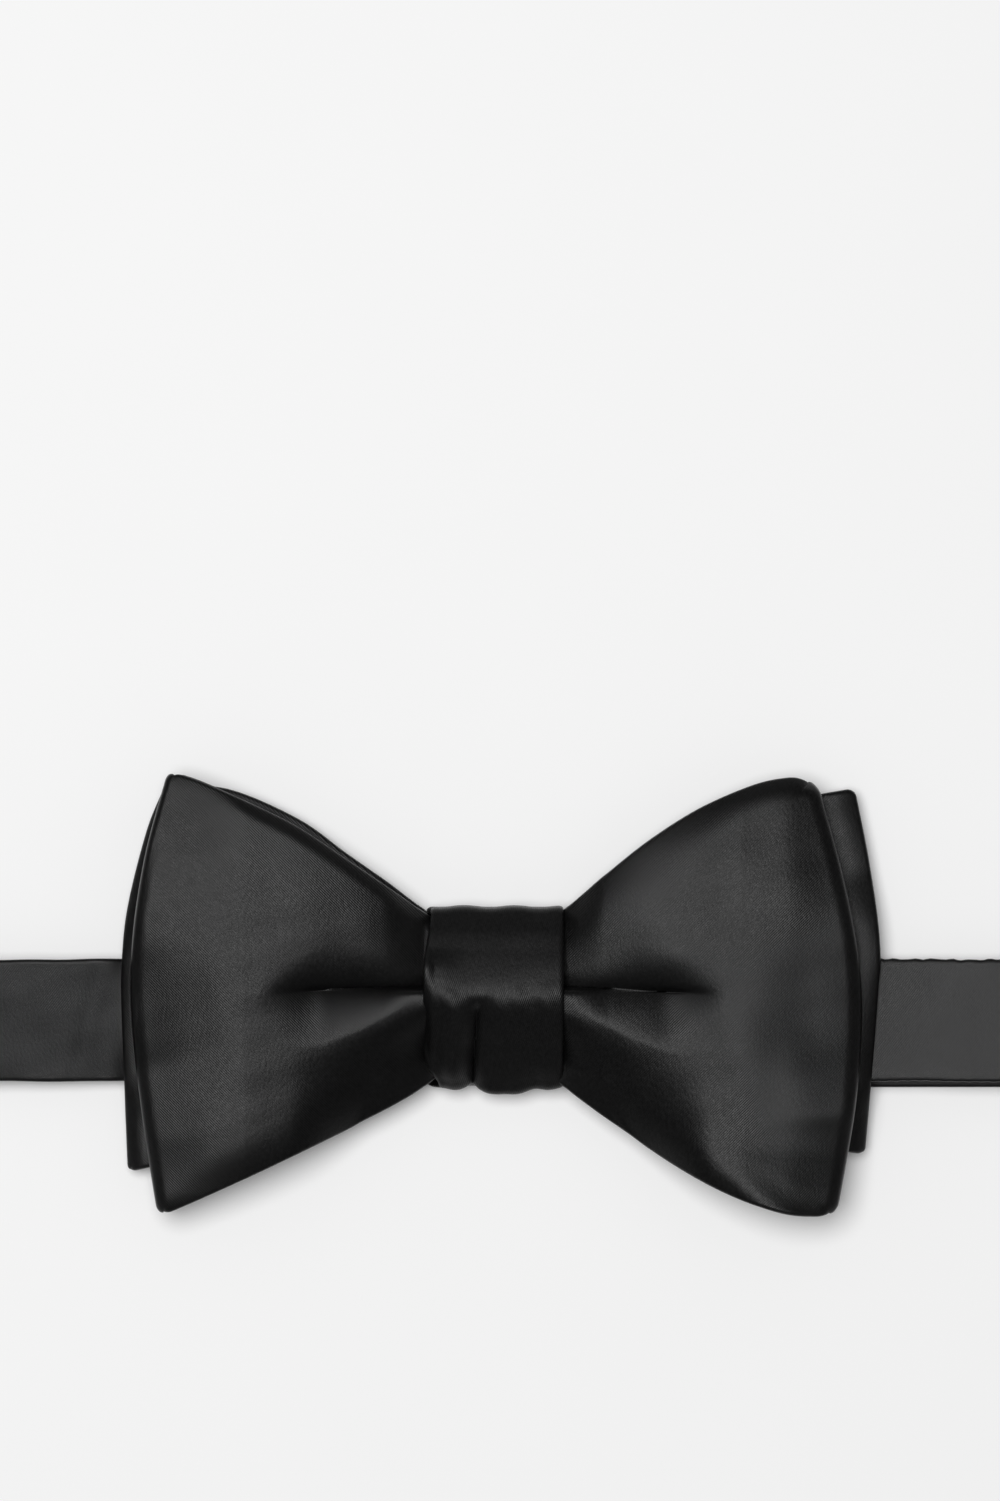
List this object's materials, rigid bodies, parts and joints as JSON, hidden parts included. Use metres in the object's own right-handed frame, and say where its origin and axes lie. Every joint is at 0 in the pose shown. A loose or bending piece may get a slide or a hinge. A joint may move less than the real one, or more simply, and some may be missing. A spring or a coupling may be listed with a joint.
{
  "type": "pre-tied bow tie",
  "caption": "Black satin bow tie with a pleated loop over flat tails, a wrapped knot, and a folded neck band with a slide adjuster, hook and eye.",
  "frame": {"origin": "the middle of the knot's back face, on the surface that the tie lies on", "axes": "+X along the neck band to the viewer's right, +Y to the top of the bow, +Z out of the front of the bow"},
  "size_m": [0.2152, 0.0702, 0.0145],
  "materials": {
    "satin": "black satin weave with a soft sheen",
    "interlining": "matt woven interlining",
    "thread": "black sewing thread",
    "clip_metal": "nickel plated, softly polished"
  },
  "bodies": {
    "bow": {"bow_loop": "satin", "bow_loop_interlining": "interlining", "bow_tails": "satin", "bow_tails_interlining": "interlining", "waist_cinch_thread": "thread", "knot_wrap": "satin", "knot_wrap_interlining": "interlining", "knot_closing_stitches": "thread", "band_front": "satin", "band_front_interlining": "interlining", "band_fold_left": "satin", "band_fold_right": "satin"},
    "left_arm": {"band_left": "satin", "band_left_interlining": "interlining"},
    "adjuster": {"slide_adjuster": "clip_metal", "adjuster_strap_loop": "satin", "strap_return_run": "satin"},
    "strap_end": {"hook_strap_loop": "satin"},
    "hook": {"hook": "clip_metal"},
    "right_arm": {"band_right": "satin", "band_right_interlining": "interlining", "eye_bar_tack": "thread"},
    "eye": {"eye": "clip_metal"}
  },
  "joints": [
    {"name": "left_arm_open", "type": "hinge", "parent": "bow", "child": "left_arm", "pos_m": [-0.106, -0.0039, 0.00155], "axis": [0, 1, 0], "range_deg": [0, 180], "deforming": ["band_fold_left"]},
    {"name": "adjuster_slide", "type": "slide", "parent": "left_arm", "child": "adjuster", "axis": [1, 0, 0], "range_m": [-0.026, 0.004], "deforming": ["band_left", "band_left_interlining", "strap_return_run"]},
    {"name": "strap_adjust", "type": "slide", "parent": "adjuster", "child": "strap_end", "axis": [1, 0, 0], "range_m": [-0.002, 0.013]},
    {"name": "hook_swing", "type": "hinge", "parent": "strap_end", "child": "hook", "pos_m": [-0.034, -0.0039, 0.00155], "axis": [0, 1, 0], "range_deg": [0, 110]},
    {"name": "right_arm_open", "type": "hinge", "parent": "bow", "child": "right_arm", "pos_m": [0.106, -0.0046, 0.00155], "axis": [0, -1, 0], "range_deg": [0, 180], "deforming": ["band_fold_right"]},
    {"name": "eye_swing", "type": "hinge", "parent": "right_arm", "child": "eye", "pos_m": [0.029, -0.0046, 0.00155], "axis": [0, -1, 0], "range_deg": [0, 110]}
  ],
  "couplings": [
    {"joint": "strap_adjust", "follows": "adjuster_slide", "ratio": -0.5}
  ]
}
